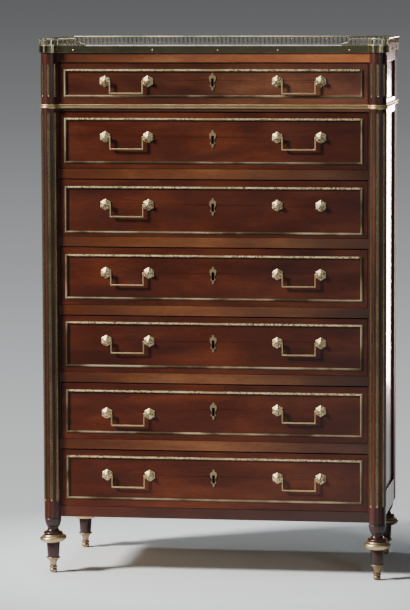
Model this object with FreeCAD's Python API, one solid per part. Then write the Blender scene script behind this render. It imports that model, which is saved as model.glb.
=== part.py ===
import FreeCAD, Part
import math
import os

V = FreeCAD.Vector

# A Louis XVI chest of seven drawers with round fluted corner columns and brass mounts.
# Millimetres, +Z up, front towards -Y. The origin is on the floor, in the middle of the plan.

# Plan
column_spacing = 910.0  # between the axes of the two front columns
foot_spacing_deep = 410.0  # between the axes of the front and the rear feet
rear_foot_inset = 15.0  # how much nearer the middle the rear feet stand than the columns
column_diameter = 48.0
column_proud_front = 18.0  # how far a column stands out in front of the rails
column_proud_side = 12.0  # how far a column stands out from the side panels' frame
post_reveal = 3.0  # how far inside the columns the edges of the drawer openings stand
post_depth = 60.0  # width of the front posts and rear stiles, seen from the side
back_beyond_foot = 27.0  # from the rear feet's axes to the rear face

# Heights, from the floor up
foot_height = 160.0
bottom_rail_height = 30.0
opening_heights = (162.0, 160.0, 160.5, 163.0, 160.5, 158.0)  # six large drawers, lowest first
rail_height = 27.4
waist_rail_height = 21.0
top_opening_height = 114.0
frieze_height = 26.5
band_height = 18.5
gallery_height = 21.0

# Carcass boards
rail_depth = 70.0
housing_depth = 8.0  # how deep each rail is let into the posts
side_thickness = 25.0
side_bottom_rail = 65.0
side_waist_overlap = 10.0  # how far the side's waist rail shows above and below the moulding rail
panel_thickness = 8.0
panel_recess = 6.0
groove_depth = 7.0
back_thickness = 20.0
back_rail_height = 70.0
back_muntin_width = 60.0
bottom_thickness = 12.0
top_board_thickness = 18.0
runner_width = 32.0
runner_height = 18.0
guide_width = 14.0
guide_rise = 20.0
stop_width = 20.0
stop_rise = 14.0
marble_proud = 3.0  # how far the marble shows above the brass band
joint_clearance = 0.1  # between glued or seated pieces

# Top edge
top_overhang = 5.0  # of the brass band beyond columns, rails and sides
brass_sheet = 3.0  # thickness of the band and the gallery
band_gap = 1.0  # shadow gap under the band
pin_places = (-386.0, -165.0, 16.0, 181.0, 378.0)
side_pin_count = 3
pin_head_radius = 2.5
pin_shank_radius = 1.0

# Gallery
arch_pitch = 13.0
arch_width = 8.4
gallery_base = 4.0
gallery_rail = 3.5
return_length = 72.0
return_ramp = 22.0

# Columns' flutes
flute_pitch_angle = 45.0
flute_width = 9.0
flute_radius = 5.0
flute_lining = 1.1
flute_proud = 0.6
upper_flute_margin = (3.0, 19.0)  # above and below: plain column in the top drawer's zone
lower_flute_margin = (2.0, 44.0)  # plain column under the waist and above the foot

# Waist moulding
waist_height = 12.0
waist_proud = 5.0
waist_bead = 1.8

# Drawers
drawer_gap = 1.0  # beside and under each drawer front
drawer_top_gap = 3.0
front_thickness = 22.0
drawer_side_gap = 3.0
drawer_side_thickness = 12.0
drawer_side_drop = 14.0  # drawer sides stop this far under the opening's top
drawer_back_drop = 24.0
drawer_running_gap = 0.4
drawer_bottom_thickness = 8.0
drawer_bottom_rise = 10.0
drawer_tail_gap = 21.0  # between the drawer and the cabinet's back
sunk_panel = 1.5

# Brass frames on the drawers
strip_width = 6.0
strip_height = 3.6
strip_inset_side = 17.0  # from the opening's edge to the strips' centre line
strip_insets = (  # the same from the opening's bottom and top, by drawer, as unequal as a fitter left them
    (21.5, 21.5),
    (18.0, 20.5),
    (13.0, 23.5),
    (20.0, 24.5),
    (19.0, 21.5),
    (21.0, 24.0),
    (24.5, 21.5),
)

# Handles
handle_centre = 239.0
boss_spacing = 120.0
boss_flats = 28.0
boss_rim_height = 6.5
boss_height = 13.0
boss_dimple = 1.3  # radius and depth
stud_flats = 12.0
bail_width = 91.0
bail_drop = 33.0
bail_wire = 4.4
bail_standoff = 9.2  # of the bail's axis in front of the drawer
bail_pin_clearance = 0.1
bail_pin_engagement = 5.0
handle_rise = 9.0  # of the bosses above the middle of a large drawer
small_handle_rise = 5.0
low_handle_drop = 15.0  # the left handle of the sixth drawer hangs this much lower
post_radius = 2.5
post_clearance = 0.2
nut_flats = 9.0
nut_thickness = 4.0
post_tail = 6.0

# Locks
keyhole_rise = 9.0
key_radius = 4.0
key_slot_width = 5.0
key_slot_length = 18.0
plate_drop = 5.0  # of the key plate's middle below the keyhole's eye
plate_thickness = 1.6
lock_width = 66.0
lock_below_key = 27.0
lock_depth = 11.8
bolt_width = 30.0
bolt_thickness = 7.8
bolt_height = 36.0
bolt_travel = 9.0  # how far the key throws the bolt up into the rail
bolt_clearance = 0.1
mortise_depth = bolt_travel + 3.0
mortise_clearance = 1.0

# Feet
foot_ring_radius = 37.5
foot_ring_height = 21.0
foot_ring_bottom = 88.0
foot_collar_radius = 27.5
foot_neck_radius = 16.0
foot_shaft_radius = 19.0
foot_seat_radius = 15.0
foot_ankle_radius = 16.2
sabot_height = 45.0
sabot_collar_radius = 19.5
sabot_waist_radius = 9.5
sabot_bulb_radius = 10.5
sabot_tip_radius = 6.0
tenon_radius = 9.0
tenon_length = 35.0
ring_clearance = 0.3

# Derived places
column_x = column_spacing / 2
column_radius = column_diameter / 2
front_axis_y = -foot_spacing_deep / 2
rear_axis_y = foot_spacing_deep / 2
rear_foot_x = column_x - rear_foot_inset
front_y = front_axis_y - column_radius + column_proud_front
side_x = column_x + column_radius - column_proud_side
back_y = rear_axis_y + back_beyond_foot
opening_x = column_x - column_radius - post_reveal
post_back_y = front_y + post_depth
stile_front_y = back_y - post_depth
rail_back_y = front_y + rail_depth
back_inner_y = back_y - back_thickness
side_inner_x = side_x - side_thickness

first_opening_z = foot_height + bottom_rail_height
waist_rail_z = first_opening_z + sum(opening_heights) + rail_height * (len(opening_heights) - 1)
top_opening_z = waist_rail_z + waist_rail_height
frieze_z = top_opening_z + top_opening_height
carcass_top_z = frieze_z + frieze_height
band_top_z = carcass_top_z + band_height
marble_top_z = band_top_z + marble_proud


def openings():
    """The drawer openings as (drawer number, bottom, top), from the lowest drawer, 7, up to 1."""
    levels = []
    bottom = first_opening_z
    number = len(opening_heights) + 1
    for height in opening_heights:
        levels.append((number, bottom, bottom + height))
        bottom += height + rail_height
        number -= 1
    levels.append((number, top_opening_z, frieze_z))
    return levels


def box(x0, x1, y0, y1, z0, z1):
    return Part.makeBox(x1 - x0, y1 - y0, z1 - z0, V(x0, y0, z0))


def mirrored(shape):
    """The same piece on the other side of the cabinet."""
    return shape.mirror(V(0, 0, 0), V(1, 0, 0))


def both_sides(shape):
    return [shape, mirrored(shape)]


def upright(x, z):
    """A point of the XZ plane."""
    return V(x, 0, z)


def drawn_wire(start, moves, place=upright):
    """A closed wire. A move is the next point, or the middle and the end of an arc."""
    edges = []
    here = start
    for move in moves:
        if len(move) == 2:
            edges.append(Part.makeLine(place(*here), place(*move)))
        else:
            edges.append(Part.Arc(place(*here), place(*move[:2]), place(*move[2:])).toShape())
        here = move[-2:]
    if math.dist(here, start) > 1e-6:
        edges.append(Part.makeLine(place(*here), place(*start)))
    return Part.Wire(edges)


def turned(start, *moves):
    """A lathe-turned solid about the Z axis, from its half outline in radius and height."""
    return Part.Face(drawn_wire(start, moves)).revolve(V(0, 0, 0), V(0, 0, 1), 360)


def at(shape, x, y, z=0.0):
    moved = shape.copy()
    moved.translate(V(x, y, z))
    return moved


def hexagon(flats, y):
    """A hexagon standing on a corner, in the plane of a drawer front."""
    radius = flats / math.sqrt(3)
    corners = [math.radians(30 + 60 * k) for k in range(7)]
    return Part.makePolygon([V(radius * math.cos(a), y, radius * math.sin(a)) for a in corners])


def hexagon_block(flats_0, y_0, flats_1, y_1):
    return Part.makeLoft([hexagon(flats_0, y_0), hexagon(flats_1, y_1)], True, True)


def save(name, solids):
    """Writes one sub-part, a solid or a group of solids."""
    group = list(solids) if isinstance(solids, (list, tuple)) else [solids]
    pieces = [solid for shape in group for solid in shape.Solids]
    shape = pieces[0] if len(pieces) == 1 else Part.makeCompound(pieces)
    shape.exportStep("parts/" + name + ".step")


# Columns and their flutes


def flute_zones():
    """The bottom and top of the fluted stretches, below and above the waist moulding."""
    above, below = lower_flute_margin
    lower = (foot_height + below, waist_rail_z - above)
    above, below = upper_flute_margin
    upper = (waist_rail_z + waist_rail_height + below, frieze_z - above)
    return [lower, upper]


def flute_angles():
    """Angles from straight ahead, outwards, at which a flute lies on the free part of a column."""
    inner_limit = -math.degrees(math.acos((column_radius - column_proud_front) / column_radius))
    outer_limit = 90 + math.degrees(math.acos((column_radius - column_proud_side) / column_radius))
    margin = math.degrees(flute_width / 2 / column_radius)
    steps = int(180 / flute_pitch_angle)
    angles = [k * flute_pitch_angle for k in range(-steps, steps + 1)]
    return [a for a in angles if inner_limit + margin < a < outer_limit - margin]


def flute_rod(radius, bottom, top, angle):
    """A round-ended rod where a flute is cut, standing at the left or right column's axis."""
    half_width = flute_width / 2
    reach = column_radius + math.sqrt(flute_radius ** 2 - half_width ** 2)
    low = V(0, -reach, bottom + half_width)
    high = V(0, -reach, top - half_width)
    rod = Part.makeCylinder(radius, high.z - low.z, low)
    rod = rod.fuse([Part.makeSphere(radius, low), Part.makeSphere(radius, high)]).removeSplitter()
    rod.rotate(V(0, 0, 0), V(0, 0, 1), angle)
    return at(rod, column_x, front_axis_y)


def flute_places():
    return [(zone, angle) for zone in flute_zones() for angle in flute_angles()]


def rail_sections():
    """The rails between the posts as (bottom, top)."""
    sections = [(foot_height, first_opening_z)]
    for number, bottom, top in openings()[:-2]:
        sections.append((top, top + rail_height))
    sections.append((waist_rail_z, top_opening_z))
    sections.append((frieze_z, carcass_top_z))
    return sections


def side_rail_sections():
    waist = (waist_rail_z - side_waist_overlap, top_opening_z + side_waist_overlap)
    return [(foot_height, foot_height + side_bottom_rail), waist, (frieze_z, carcass_top_z)]


def side_panel(grow=0.0):
    """The two panels of the right side, with their tongues; grown, they cut the grooves."""
    rails = side_rail_sections()
    outer = side_x - panel_recess
    panels = []
    for below, above in zip(rails, rails[1:]):
        panels.append(
            box(
                outer - panel_thickness - grow,
                outer + grow,
                post_back_y - groove_depth - grow,
                stile_front_y + groove_depth + grow,
                below[1] - groove_depth - grow,
                above[0] + groove_depth + grow,
            )
        )
    return panels


def tenon_hole(x, y):
    return Part.makeCylinder(
        tenon_radius + joint_clearance, tenon_length + 1, V(x, y, foot_height), V(0, 0, 1)
    )


def column():
    """The right front post: a square stile and a three-quarter column in one piece."""
    height = carcass_top_z - foot_height
    stile = box(opening_x, side_x, front_y, post_back_y, foot_height, carcass_top_z)
    round_part = Part.makeCylinder(column_radius, height, V(column_x, front_axis_y, foot_height))
    cuts = [flute_rod(flute_radius, zone[0], zone[1], angle) for zone, angle in flute_places()]
    for bottom, top in rail_sections():
        cuts.append(
            box(
                opening_x - 1,
                opening_x + housing_depth + joint_clearance,
                front_y,
                rail_back_y,
                bottom - joint_clearance,
                top + joint_clearance,
            )
        )
    cuts += side_panel(joint_clearance)
    cuts.append(tenon_hole(column_x, front_axis_y))
    return stile.fuse(round_part).removeSplitter().cut(cuts)


def flute_liners():
    """Brass channels in the right column's flutes, a little proud at their edges."""
    height = carcass_top_z - foot_height
    limit = Part.makeCylinder(
        column_radius + flute_proud, height, V(column_x, front_axis_y, foot_height)
    )
    liners = []
    outer = flute_radius - joint_clearance
    for (bottom, top), angle in flute_places():
        channel = flute_rod(outer, bottom, top, angle)
        hollow = flute_rod(outer - flute_lining, bottom, top, angle)
        liners.append(channel.cut(hollow).common(limit))
    return liners


# Carcass


def front_rail(bottom, top):
    return box(
        -opening_x - housing_depth,
        opening_x + housing_depth,
        front_y,
        rail_back_y,
        bottom,
        top,
    )


def bolt_slot(above):
    """The mortise that takes a lock's bolt, cut up into the rail over a drawer."""
    middle = front_y + front_thickness - lock_depth / 2
    half_x = bolt_width / 2 + mortise_clearance
    half_y = bolt_thickness / 2 + mortise_clearance
    return box(-half_x, half_x, middle - half_y, middle + half_y, above, above + mortise_depth)


def front_rails():
    slots = [bolt_slot(top) for number, bottom, top in openings()]
    return [front_rail(bottom, top).cut(slots) for bottom, top in rail_sections()]


def side_frame():
    """Rails and panels of the right side, between the front post and the rear stile."""
    grooves = side_panel(joint_clearance)
    pieces = []
    for bottom, top in side_rail_sections():
        rail = box(side_inner_x, side_x, post_back_y, stile_front_y, bottom, top)
        pieces.append(rail.cut(grooves))
    return pieces + side_panel()


def back_openings():
    """The four panel places of the back as (x0, x1, z0, z1)."""
    middle = (foot_height + carcass_top_z) / 2
    heights = [
        (foot_height + back_rail_height, middle - back_rail_height / 2),
        (middle + back_rail_height / 2, carcass_top_z - back_rail_height),
    ]
    half = back_muntin_width / 2
    return [(x0, x1, *z) for z in heights for x0, x1 in ((-opening_x, -half), (half, opening_x))]


def back_panels(grow=0.0):
    outer = back_y - panel_recess
    panels = []
    for x0, x1, z0, z1 in back_openings():
        tongue = groove_depth + grow
        panels.append(
            box(
                x0 - tongue,
                x1 + tongue,
                outer - panel_thickness - grow,
                outer + grow,
                z0 - tongue,
                z1 + tongue,
            )
        )
    return panels


def rear_stile():
    """The right rear corner, grooved for the side and back panels."""
    stile = box(opening_x, side_x, stile_front_y, back_y, foot_height, carcass_top_z)
    cuts = side_panel(joint_clearance) + back_panels(joint_clearance)
    return stile.cut(cuts + [tenon_hole(rear_foot_x, rear_axis_y)])


def back_frame():
    grooves = back_panels(joint_clearance)
    places = back_openings()
    levels = [foot_height] + [z for place in places[::2] for z in place[2:]] + [carcass_top_z]
    pieces = []
    for bottom, top in zip(levels[::2], levels[1::2]):
        pieces.append(box(-opening_x, opening_x, back_inner_y, back_y, bottom, top).cut(grooves))
    half = back_muntin_width / 2
    for place in places[::2]:
        pieces.append(box(-half, half, back_inner_y, back_y, place[2], place[3]).cut(grooves))
    return pieces + back_panels()


def level_board(bottom, top):
    """A board that fills the cabinet behind the rails, notched round the rear stiles."""
    wide = box(-side_inner_x, side_inner_x, rail_back_y, stile_front_y, bottom, top)
    narrow = box(-opening_x, opening_x, stile_front_y, back_inner_y, bottom, top)
    return wide.fuse(narrow).removeSplitter()


def drawer_tail_y():
    return back_inner_y - drawer_tail_gap


def runners():
    """A runner, a guide and a stop on each side of each drawer."""
    pieces = []
    stop_x = opening_x - drawer_side_gap - stop_width
    for number, bottom, top in openings():
        underside = bottom - runner_height
        inner = opening_x - runner_width
        runner = box(inner, opening_x, rail_back_y, back_inner_y, underside, bottom)
        guide = box(
            opening_x,
            opening_x + guide_width,
            rail_back_y,
            stile_front_y,
            underside,
            bottom + guide_rise,
        )
        stop = box(
            stop_x,
            stop_x + stop_width,
            drawer_tail_y() + joint_clearance * 3,
            back_inner_y,
            bottom,
            bottom + stop_rise,
        )
        for piece in (runner, guide, stop):
            pieces += both_sides(piece)
    return pieces


# Top


def corner_ends(overhang):
    """Where an edge with this overhang leaves the front line and meets the side line."""
    radius = column_radius + overhang
    front_reach = front_axis_y - (front_y - overhang)
    side_reach = side_x + overhang - column_x
    inner_x = column_x - math.sqrt(radius ** 2 - front_reach ** 2)
    outer_y = front_axis_y + math.sqrt(radius ** 2 - side_reach ** 2)
    return inner_x, outer_y


def top_face(overhang, z):
    """The plan of the top: a rectangle whose front corners follow the round columns."""
    inner_x, outer_y = corner_ends(overhang)
    y_line = front_y - overhang
    x_line = side_x + overhang
    rear = back_y + overhang
    rim = (column_radius + overhang) * math.sqrt(0.5)
    moves = [
        (inner_x, y_line),
        (column_x + rim, front_axis_y - rim, x_line, outer_y),
        (x_line, rear),
        (-x_line, rear),
        (-x_line, outer_y),
        (-column_x - rim, front_axis_y - rim, -inner_x, y_line),
    ]
    return Part.Face(drawn_wire((-inner_x, y_line), moves, lambda x, y: V(x, y, z)))


def top_slab(overhang, bottom, top):
    return top_face(overhang, bottom).extrude(V(0, 0, top - bottom))


def pin_z():
    return carcass_top_z + band_gap + (band_height - band_gap) * 0.35


def side_pin_places():
    run = back_y - post_back_y
    return [post_back_y + run * (k + 0.5) / side_pin_count for k in range(side_pin_count)]


def placed_pins(front_pin):
    """Copies of a front-facing pin in every place along the front and the two sides."""
    pins = [at(front_pin, x, front_y - top_overhang, pin_z()) for x in pin_places]
    side_pin = front_pin.copy()
    side_pin.rotate(V(0, 0, 0), V(0, 0, 1), 90)
    for y in side_pin_places():
        pins += both_sides(at(side_pin, side_x + top_overhang, y, pin_z()))
    return pins


def top_band():
    """The brass band round the marble, with holes for its pins."""
    bottom = carcass_top_z + band_gap
    ring = top_slab(top_overhang, bottom, band_top_z)
    ring = ring.cut(top_slab(top_overhang - brass_sheet, bottom, band_top_z))
    radius = pin_shank_radius + joint_clearance
    hole = Part.makeCylinder(radius, brass_sheet + 2, V(0, -1, 0), V(0, 1, 0))
    return ring.cut(placed_pins(hole))


def band_pins():
    head = Part.makeSphere(pin_head_radius, V(0, 0, 0))
    half = box(-pin_head_radius, pin_head_radius, -pin_head_radius, 0, -pin_head_radius, pin_head_radius)
    shank = Part.makeCylinder(pin_shank_radius, brass_sheet, V(0, 0, 0), V(0, 1, 0))
    return placed_pins(head.common(half).fuse(shank).removeSplitter())


def arch_wire(x, place=upright):
    """One round-headed opening of the gallery, centred at x."""
    half = arch_width / 2
    spring = gallery_height - gallery_rail - half
    moves = [(x + half, gallery_base), (x + half, spring)]
    moves.append((x, spring + half, x - half, spring))
    return drawn_wire((x - half, gallery_base), moves, place)


def pierced_face(length, ramp=0.0):
    """A stretch of gallery in the XZ plane from x = 0, with one end ramped down if asked."""
    moves = [(length, 0), (length, gallery_height), (ramp, gallery_height)]
    if ramp:
        moves.append((ramp * 0.7, gallery_height * 0.45, 0, gallery_base))
    free = length - ramp
    count = int(free / arch_pitch)
    step = free / count
    wires = [drawn_wire((0, 0), moves)]
    wires += [arch_wire(ramp + step * (k + 0.5)) for k in range(count)]
    return Part.makeFace(wires, "Part::FaceMakerBullseye")


def gallery_return():
    """The short straight stretch beside the right column, ramped down at its free end."""
    inner_x, outer_y = corner_ends(top_overhang)
    plate = pierced_face(return_length, return_ramp).extrude(V(0, brass_sheet, 0))
    return at(plate, inner_x - return_length, front_y - top_overhang, band_top_z)


def gallery_corner():
    """The round corner over the right column."""
    inner_x, outer_y = corner_ends(top_overhang)
    radius = column_radius + top_overhang
    y_line = front_y - top_overhang
    x_line = side_x + top_overhang
    first = math.degrees(math.atan2(y_line - front_axis_y, inner_x - column_x))
    last = math.degrees(math.atan2(outer_y - front_axis_y, x_line - column_x))
    sweep = last - first
    wall = [(radius, 0), (radius, gallery_height), (radius - brass_sheet, gallery_height)]
    ring = Part.Face(drawn_wire((radius - brass_sheet, 0), wall))
    shell = ring.revolve(V(0, 0, 0), V(0, 0, 1), sweep)
    count = int(math.radians(sweep) * radius / arch_pitch)
    cutters = []
    for k in range(count):
        arch = Part.Face(arch_wire(0, lambda x, z: V(0, x, z)))
        cutter = arch.extrude(V(radius + 1, 0, 0))
        cutter.rotate(V(0, 0, 0), V(0, 0, 1), sweep * (k + 0.5) / count)
        cutters.append(cutter)
    shell = shell.cut(cutters)
    shell.rotate(V(0, 0, 0), V(0, 0, 1), first)
    return at(shell, column_x, front_axis_y, band_top_z)


def gallery_side():
    inner_x, outer_y = corner_ends(top_overhang)
    run = back_y + top_overhang - brass_sheet - outer_y
    plate = pierced_face(run).extrude(V(0, brass_sheet, 0))
    plate.rotate(V(0, 0, 0), V(0, 0, 1), 90)
    return at(plate, side_x + top_overhang, outer_y, band_top_z)


def gallery_back():
    half = side_x + top_overhang
    plate = pierced_face(half * 2).extrude(V(0, brass_sheet, 0))
    return at(plate, -half, back_y + top_overhang - brass_sheet, band_top_z)


def gallery():
    pieces = [gallery_back()]
    for piece in (gallery_return(), gallery_corner(), gallery_side()):
        pieces += both_sides(piece)
    return pieces


# Waist moulding


def waist_outline(base):
    """Two beads with a hollow between them; distances from the face it lies on, then heights."""
    top = waist_height
    bead = waist_bead
    edge = base + waist_proud - bead
    return (base, 0), [
        (edge - bead, 0),
        (edge - bead, bead),
        (edge, bead),
        (edge + bead, bead * 2, edge, bead * 3),
        (edge - bead * 0.7, (bead * 3 + top - bead * 2) / 2, edge, top - bead * 2),
        (edge + bead, top - bead, edge, top),
        (base, top),
    ]


def waist_moulding():
    """The brass moulding over the waist rail: front, rings round the columns, sides."""
    z = top_opening_z - drawer_gap - waist_height
    start, moves = waist_outline(0.0)
    front_face = Part.Face(drawn_wire(start, moves, lambda a, b: V(0, front_y - a, z + b)))
    front = at(front_face.extrude(V(column_x * 2, 0, 0)), -column_x, 0)
    side_face = Part.Face(
        drawn_wire(start, moves, lambda a, b: V(side_x + a, front_axis_y, z + b))
    )
    side = side_face.extrude(V(0, back_y - front_axis_y, 0))
    start, moves = waist_outline(column_radius)
    start = (column_radius - column_proud_side, start[1])
    moves = moves[:-1] + [(start[0], waist_height)]
    ring = at(turned(start, *moves), column_x, front_axis_y, z)
    whole = front.fuse(both_sides(side) + both_sides(ring)).removeSplitter()
    keep_out = [
        box(-side_x, side_x, front_y, back_y, z - 1, z + waist_height + 1),
    ]
    core = Part.makeCylinder(
        column_radius + joint_clearance / 2, waist_height + 2, V(column_x, front_axis_y, z - 1)
    )
    return whole.cut(keep_out + both_sides(core))


# Drawers


def strip_outline():
    """A flat fillet and a bead: across the strip, then proud of the drawer front."""
    fillet = strip_width * 0.24
    lip = strip_height * 0.34
    crown = (fillet + strip_width * 0.88) / 2
    return (0, 0), [
        (0, lip * 1.4),
        (fillet, lip * 1.4),
        (crown, strip_height, strip_width * 0.88, lip),
        (strip_width, lip),
        (strip_width, 0),
    ]


def frame_outline(number, bottom, top):
    """A drawer's brass frame: half its outer width, its middle height and half its outer height."""
    half = strip_width / 2
    below, above = strip_insets[number - 1]
    low, high = bottom + below - half, top - above + half
    return opening_x - strip_inset_side + half, (low + high) / 2, (high - low) / 2


def mitred_strip(half_length):
    """A strip along X whose outer edge lies at z = 0 and whose body hangs below it."""
    start, moves = strip_outline()
    face = Part.Face(drawn_wire(start, moves, lambda a, b: V(-half_length, -b, -a)))
    bar = face.extrude(V(half_length * 2, 0, 0))
    width = strip_width
    corners = [(-half_length, 0), (half_length, 0), (half_length - width, -width)]
    corners += [(width - half_length, -width), (-half_length, 0)]
    mitre = Part.Face(Part.makePolygon([V(x, 1, z) for x, z in corners]))
    return bar.common(mitre.extrude(V(0, -strip_height - 2, 0)))


def frame_strips(number, bottom, top):
    half_x, middle, half_z = frame_outline(number, bottom, top)
    strips = []
    for turn in (0, 90, 180, 270):
        along, across = (half_x, half_z) if turn % 180 == 0 else (half_z, half_x)
        strip = at(mitred_strip(along), 0, 0, across)
        strip.rotate(V(0, 0, 0), V(0, 1, 0), turn)
        strips.append(at(strip, 0, front_y, middle))
    return strips


def handle_height(number, bottom, top, side):
    """The height of a handle's bosses; side is -1 for the left one and 1 for the right one."""
    rise = small_handle_rise if number == 1 else handle_rise
    drop = low_handle_drop if number == 6 and side < 0 else 0.0
    return (bottom + top) / 2 + rise - drop


def boss_places(number, bottom, top):
    """Each boss as (x, z, direction of the other boss of its handle)."""
    places = []
    for side in (-1, 1):
        z = handle_height(number, bottom, top, side)
        for end in (-1, 1):
            places.append((side * handle_centre + end * boss_spacing / 2, z, -end))
    return places


def boss(inwards):
    """A faceted hexagonal boss, with a dimpled stud for the bail's pin and a post."""
    base = boss_rim_height * 0.3
    foot = hexagon_block(boss_flats, 0, boss_flats, -base)
    facets = hexagon_block(boss_flats, -base, stud_flats, -boss_rim_height)
    stud = hexagon_block(stud_flats, -boss_rim_height, stud_flats, -boss_height * 0.88)
    tip = hexagon_block(stud_flats, -boss_height * 0.88, stud_flats * 0.45, -boss_height)
    dimple = Part.makeCylinder(boss_dimple, boss_dimple, V(0, -boss_height, 0), V(0, 1, 0))
    post_length = front_thickness + nut_thickness + post_tail
    post = Part.makeCylinder(post_radius, post_length, V(0, 0, 0), V(0, 1, 0))
    whole = foot.fuse([facets, stud, tip, post]).cut(dimple).removeSplitter()
    pin_radius = bail_wire / 2 + bail_pin_clearance
    depth = bail_pin_engagement + joint_clearance * 3
    start = V(inwards * (stud_flats / 2 - depth), -bail_standoff, 0)
    return whole.cut(Part.makeCylinder(pin_radius, boss_flats, start, V(inwards, 0, 0)))


def nut():
    inner = post_radius + joint_clearance / 2
    block = hexagon_block(nut_flats, front_thickness, nut_flats, front_thickness + nut_thickness)
    return block.cut(Part.makeCylinder(inner, front_thickness * 2, V(0, 0, 0), V(0, 1, 0)))


def key_height(bottom, top):
    return (bottom + top) / 2 + keyhole_rise


def keyhole(z, y0, y1):
    """A round eye with a slot below it, right through from y0 to y1."""
    eye = Part.makeCylinder(key_radius, y1 - y0, V(0, y0, z), V(0, 1, 0))
    half = key_slot_width / 2
    return eye.fuse(box(-half, half, y0, y1, z - key_slot_length, z))


def key_plate(z):
    """The shaped plate round the keyhole: finial, shoulders, waist, flared foot and drop."""
    right = [
        (3.0, 21.5, 1.4, 18.6),
        (6.5, 17.0, 9.5, 10.0),
        (8.0, 3.5, 4.6, -1.5),
        (5.2, -7.5, 8.2, -12.5),
        (2.2, -15.5),
        (2.8, -19.5, 0.0, -24.5),
    ]
    top = (0.0, 24.5)
    ends = [top] + [move[-2:] for move in right]
    left = []
    for move, end in zip(reversed(right), reversed(ends[:-1])):
        middle = (-move[0], move[1]) if len(move) == 4 else ()
        left.append(middle + (-end[0], end[1]))
    plate = Part.Face(drawn_wire(top, right + left)).extrude(V(0, -plate_thickness, 0))
    plate = at(plate, 0, front_y + sunk_panel, z - plate_drop)
    return plate.cut(keyhole(z, front_y - 10, front_y + 10))


def lock_box(bottom, top, grow=0.0):
    """The room of a drawer's lock in the back of its front, open at the top edge."""
    half = lock_width / 2 + grow
    rear = front_y + front_thickness
    low = key_height(bottom, top) - lock_below_key - grow
    return box(-half, half, rear - lock_depth - grow, rear, low, top - drawer_top_gap)


def bolt_box(top, grow=0.0):
    """The bolt at rest, its tip level with the drawer's top edge; grown, it cuts its channel."""
    middle = front_y + front_thickness - lock_depth / 2
    half_x = bolt_width / 2 + grow
    half_y = bolt_thickness / 2 + grow
    tip = top - drawer_top_gap
    return box(-half_x, half_x, middle - half_y, middle + half_y, tip - bolt_height - grow, tip)


def drawer_front(number, bottom, top):
    rear = front_y + front_thickness
    half = opening_x - drawer_gap
    board = box(-half, half, front_y, rear, bottom + drawer_gap, top - drawer_top_gap)
    frame_x, middle, frame_z = frame_outline(number, bottom, top)
    inner_x = frame_x - strip_width
    inner_z = frame_z - strip_width
    panel = box(-inner_x, inner_x, front_y, front_y + sunk_panel, middle - inner_z, middle + inner_z)
    cuts = [panel, lock_box(bottom, top, joint_clearance)]
    cuts.append(keyhole(key_height(bottom, top), front_y - 1, rear))
    for x, z, inwards in boss_places(number, bottom, top):
        radius = post_radius + post_clearance
        cuts.append(Part.makeCylinder(radius, front_thickness + 2, V(x, front_y - 1, z), V(0, 1, 0)))
    return board.cut(cuts)


def drawer_box(bottom, top):
    """Two sides, a back that stands on the bottom board, and the bottom board."""
    front = front_y + front_thickness
    tail = drawer_tail_y()
    outer = opening_x - drawer_side_gap
    inner = outer - drawer_side_thickness
    low = bottom + drawer_running_gap
    floor = low + drawer_bottom_rise
    side = box(inner, outer, front, tail, low, top - drawer_side_drop)
    board = box(-inner, inner, front, tail, floor, floor + drawer_bottom_thickness)
    back = box(
        -inner,
        inner,
        tail - drawer_side_thickness,
        tail,
        floor + drawer_bottom_thickness,
        top - drawer_back_drop,
    )
    return both_sides(side) + [board, back]


def drawer_brasswork(number, bottom, top):
    """Frame strips, bosses with their nuts, the key plate and the lock's case."""
    pieces = frame_strips(number, bottom, top)
    for x, z, inwards in boss_places(number, bottom, top):
        pieces.append(at(boss(inwards), x, front_y + sunk_panel, z))
        pieces.append(at(nut(), x, front_y, z))
    pieces.append(key_plate(key_height(bottom, top)))
    channel = bolt_box(top, bolt_clearance)
    pieces.append(lock_box(bottom, top).cut(channel))
    return pieces


def bail(number, bottom, top, side):
    """A square-cornered wire handle whose bent ends turn in the studs."""
    radius = bail_wire / 2
    x = side * handle_centre
    y = front_y + sunk_panel - bail_standoff
    z = handle_height(number, bottom, top, side)
    arm = bail_width / 2
    pin = boss_spacing / 2 - stud_flats / 2 + bail_pin_engagement
    corners = [V(x - pin, y, z), V(x - arm, y, z), V(x - arm, y, z - bail_drop)]
    corners += [V(x + arm, y, z - bail_drop), V(x + arm, y, z), V(x + pin, y, z)]
    pieces = [Part.makeSphere(radius, corner) for corner in corners[1:-1]]
    for here, there in zip(corners, corners[1:]):
        run = there - here
        pieces.append(Part.makeCylinder(radius, run.Length, here, run))
    return pieces[0].fuse(pieces[1:]).removeSplitter()


# Feet


def foot():
    """A turned foot: tenon, cup under the column, neck, collar, shaft, end in the sabot."""
    cup = column_radius
    ring_top = foot_ring_bottom + foot_ring_height
    collar_top = ring_top + 8.0
    neck = foot_neck_radius
    collar = foot_collar_radius
    ankle = foot_ankle_radius
    return turned(
        (0, foot_height + tenon_length),
        (tenon_radius, foot_height + tenon_length),
        (tenon_radius, foot_height),
        (cup, foot_height),
        (cup, foot_height - 4),
        (cup - 1.5, foot_height - 16, neck, foot_height - 27),
        (neck, collar_top + 3),
        (neck + 5, collar_top),
        (collar - 3, collar_top),
        (collar, (collar_top + ring_top) / 2, collar - 3, ring_top),
        (foot_seat_radius, ring_top),
        (foot_seat_radius, foot_ring_bottom),
        (foot_shaft_radius, foot_ring_bottom),
        (ankle, sabot_height),
        (sabot_waist_radius - 3, sabot_height * 0.66),
        (0, sabot_height * 0.66),
    )


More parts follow.
